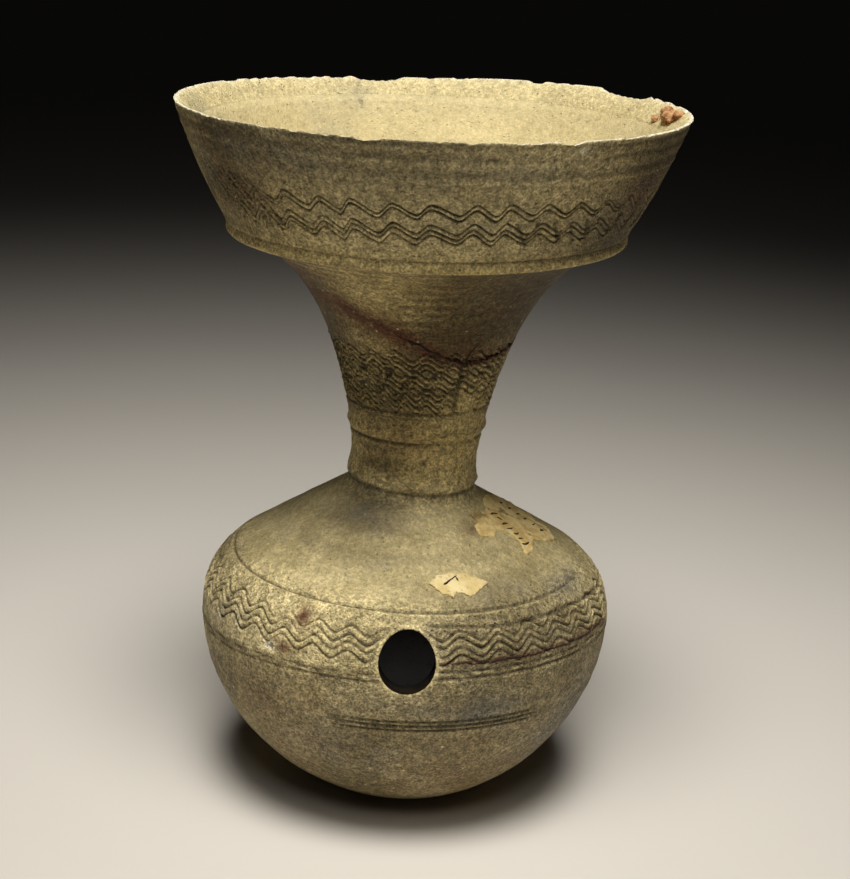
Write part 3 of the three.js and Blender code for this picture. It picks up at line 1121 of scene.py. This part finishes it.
def clay_material():
    n = Nodes("clay")
    broad = n.noise(22, 5, 0.6)
    cloud = n.noise(75, 6, 0.65)
    fine = n.noise(420, 4, 0.6)
    grit = n.noise(1500, 3, 0.6)
    wiped = n.noise(60, 5, 0.65, stretch=(1, 1, 14))
    ash_and_light = n.finish("ash_and_light")
    pale = n.finish("pale")
    dirt_and_shade = n.finish("dirt_and_shade")
    calm = n.finish("calm")

    shade = n.plus(n.times(broad, 0.5), n.times(wiped, 0.5))
    body = n.tones(shade, 0.4, 0.62, (78, 66, 41), (122, 106, 67))
    body = n.mix(n.ramp(cloud, 0.52, 0.7), body, srgb(98, 92, 76))
    body = n.mix(n.times(n.ramp(n.noise(48, 5, 0.65), 0.5, 0.66), 0.6), body, srgb(112, 86, 48))
    ashen = n.tones(cloud, 0.38, 0.62, (188, 172, 124), (212, 195, 145))
    ashen = n.mix(n.ramp(broad, 0.55, 0.72), ashen, srgb(158, 148, 118))

    uneven = n.plus(n.times(broad, 0.4), n.times(cloud, 0.4))
    uneven = n.plus(uneven, n.times(grit, 0.4))
    # The ash finish also holds painted light and shade on the bowl: paler in front, darker towards the
    # sides.
    amount = n.plus(ash_and_light, n.math("SUBTRACT", uneven, 0.6))
    colour = n.mix(n.ramp(amount, 0.12, 0.88), body, ashen)
    ochre = n.tones(amount, 0.12, 0.88, (98, 80, 36), (196, 170, 96))
    worn = n.math("SUBTRACT", 0.9, n.times(ash_and_light, 0.6))
    layers = [
        (n.finish("ochre"), ochre),
        (n.times(n.finish("grey"), n.ramp(cloud, 0.36, 0.56)), srgb(112, 110, 104)),
        (n.times(n.finish("stain"), n.ramp(fine, 0.22, 0.48)), srgb(94, 52, 28)),
        # Pale on the chips and the lip, and painted light on the bowl's front.
        (n.times(pale, n.ramp(fine, 0.28, 0.44)), srgb(234, 219, 170)),
        (n.ramp(pale, 0.75, 1), srgb(240, 232, 206)),
        (n.times(n.ramp(grit, 0.6, 0.68), worn), srgb(62, 52, 36)),
        (n.times(n.ramp(n.cells(330), 0.16, 0.08), n.ramp(fine, 0.5, 0.62)), srgb(205, 192, 158)),
        # Darker in the grooves and cuts, and painted shade under the bowl's foot and down inside the
        # jar.
        (dirt_and_shade, srgb(50, 40, 25)),
        # Painted shade: near black deep inside the body.
        (n.ramp(dirt_and_shade, 0.85, 1), srgb(20, 16, 11)),
    ]
    for share, tone in layers:
        colour = n.mix(share, colour, tone)

    grained = n.shade(colour, fine, 0.8, 1.18)
    grained = n.shade(grained, n.noise(800, 4, 0.7), 0.66, 1.34)
    grained = n.shade(grained, grit, 0.66, 1.34)
    n.coat(n.mix(calm, grained, colour), n.plus(n.times(cloud, 0.35), 0.5))
    n.shader.inputs["Specular IOR Level"].default_value = 0.35

    pits = n.times(n.ramp(n.cells(520), 0.22, 0.05), -0.6)
    rough = n.plus(fine, n.times(grit, 0.7))
    held = n.math("SUBTRACT", 1.0, n.times(calm, 0.8))
    n.bump(n.times(n.plus(rough, pits), held), 1.0, 0.001)
    return n.material


def hole_shade_material():
    """The wall of the spout hole, painted near black as shade."""
    n = Nodes("hole_wall_shade")
    n.coat(n.tones(n.noise(300), 0.35, 0.65, (12, 9, 6), (28, 21, 14)), 0.95)
    n.shader.inputs["Specular IOR Level"].default_value = 0.1
    n.bump(n.noise(900), 0.6, 0.0006)
    return n.material


def crack_material():
    n = Nodes("crack_dirt")
    n.coat(n.tones(n.noise(500), 0.35, 0.65, (30, 21, 12), (66, 43, 24)), 0.95)
    n.bump(n.noise(1200), 0.6, 0.0004)
    return n.material


def paper_material():
    n = Nodes("old_paper")
    colour = n.tones(n.noise(160, 5, 0.65), 0.35, 0.65, (214, 190, 128), (236, 217, 164))
    foxed = n.times(n.ramp(n.noise(620), 0.56, 0.7), 0.6)
    n.coat(n.mix(foxed, colour, srgb(150, 124, 78)), 0.85)
    n.bump(n.noise(900), 0.3, 0.0002)
    return n.material


def worn_paper_material():
    n = Nodes("worn_paper")
    colour = n.tones(n.noise(230, 6, 0.7), 0.42, 0.58, (224, 190, 118), (250, 226, 162))
    rubbed = n.ramp(n.noise(140, 5, 0.65), 0.56, 0.62)
    n.coat(n.mix(rubbed, colour, srgb(156, 138, 92)), 0.85)
    n.bump(n.noise(900), 0.4, 0.0003)
    return n.material


def ink_material():
    n = Nodes("old_ink")
    n.coat(n.tones(n.noise(700), 0.4, 0.6, (40, 32, 22), (78, 64, 44)), 0.8)
    return n.material


def crumb_material():
    n = Nodes("red_crumb")
    cloud = n.noise(350, 6, 0.65)
    n.coat(n.tones(cloud, 0.4, 0.62, (150, 100, 62), (206, 160, 112)), 0.95)
    n.bump(cloud, 0.8, 0.0012)
    return n.material


def floor_material():
    n = Nodes("studio_floor")
    n.coat(n.tones(n.noise(3, 2), 0.2, 0.8, (206, 201, 194), (210, 205, 198)), 0.9)
    return n.material


# Pieces of the jar

jar = make_piece("jar_clay", clay_mesh(), clay_material())
# The second material is for the wall of the spout hole, painted shade.
jar.data.materials.append(hole_shade_material())
cut_spout(jar)
pieces = [
    jar,
    make_piece("crack_lines", crack_mesh(), crack_material()),
    make_piece("front_paper", paper_mesh("front_paper", front_paper, 0.16, seed=61), paper_material()),
    make_piece("side_paper", paper_mesh("side_paper", side_paper, 0.14, seed=62), worn_paper_material()),
    make_piece("ink_strokes", ink_mesh(), ink_material()),
    make_piece("clay_crumb", crumb_mesh(), crumb_material()),
]
for piece in pieces:
    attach(piece, "root")
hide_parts("jar")


# Studio

# Camera of the photograph: place in metres, angles in degrees
camera_place = (-0.01392, -0.54797, 0.27093)
camera_turn = -1.8
camera_pitch = 73.1
camera_roll = 3.142
camera_lens = 81.9
camera_sensor = 36


def add_floor():
    size = 6.0
    corners = [(-size, -size, 0), (size, -size, 0), (size, size, 0), (-size, size, 0)]
    floor = make_piece("floor", make_mesh("floor", corners, [(0, 1, 2, 3)]), floor_material())


def add_light(name, place, target, size, power, colour, spread_angle):
    data = bpy.data.lights.new(name, "AREA")
    data.shape = "DISK"
    data.size = size
    data.energy = power
    data.color = colour
    data.spread = math.radians(spread_angle)
    light = bpy.data.objects.new(name, data)
    way = np.array(target) - np.array(place)
    light.location = place
    from_down = math.atan2(math.hypot(way[0], way[1]), -way[2])
    light.rotation_euler = (from_down, 0, math.atan2(-way[0], way[1]))
    bpy.context.collection.objects.link(light)


def add_world(strength):
    world = bpy.data.worlds.new("studio")
    world.use_nodes = True
    background = world.node_tree.nodes["Background"]
    background.inputs["Color"].default_value = (1, 0.98, 0.95, 1)
    background.inputs["Strength"].default_value = strength
    bpy.context.scene.world = world


def add_camera():
    data = bpy.data.cameras.new("camera")
    data.lens = camera_lens
    data.sensor_width = camera_sensor
    data.sensor_fit = "AUTO"
    camera = bpy.data.objects.new("camera", data)
    turn = Matrix.Rotation(math.radians(camera_turn), 4, "Z")
    pitch = Matrix.Rotation(math.radians(camera_pitch), 4, "X")
    roll = Matrix.Rotation(math.radians(camera_roll), 4, "Z")
    camera.matrix_world = Matrix.Translation(camera_place) @ turn @ pitch @ roll
    bpy.context.collection.objects.link(camera)
    bpy.context.scene.camera = camera


add_floor()
add_light(
    "top", place=(0, -0.44, 1.27), target=(0, -0.06, 0.1),
    size=0.65, power=1.8, colour=(1, 0.965, 0.9), spread_angle=44,
)
add_light(
    "front", place=(0, -0.84, 1.03), target=(0, 0, 0.1),
    size=0.5, power=0.17, colour=(1, 0.96, 0.88), spread_angle=44,
)
add_world(strength=0.004)
add_camera()
bpy.context.scene.view_settings.view_transform = "Standard"
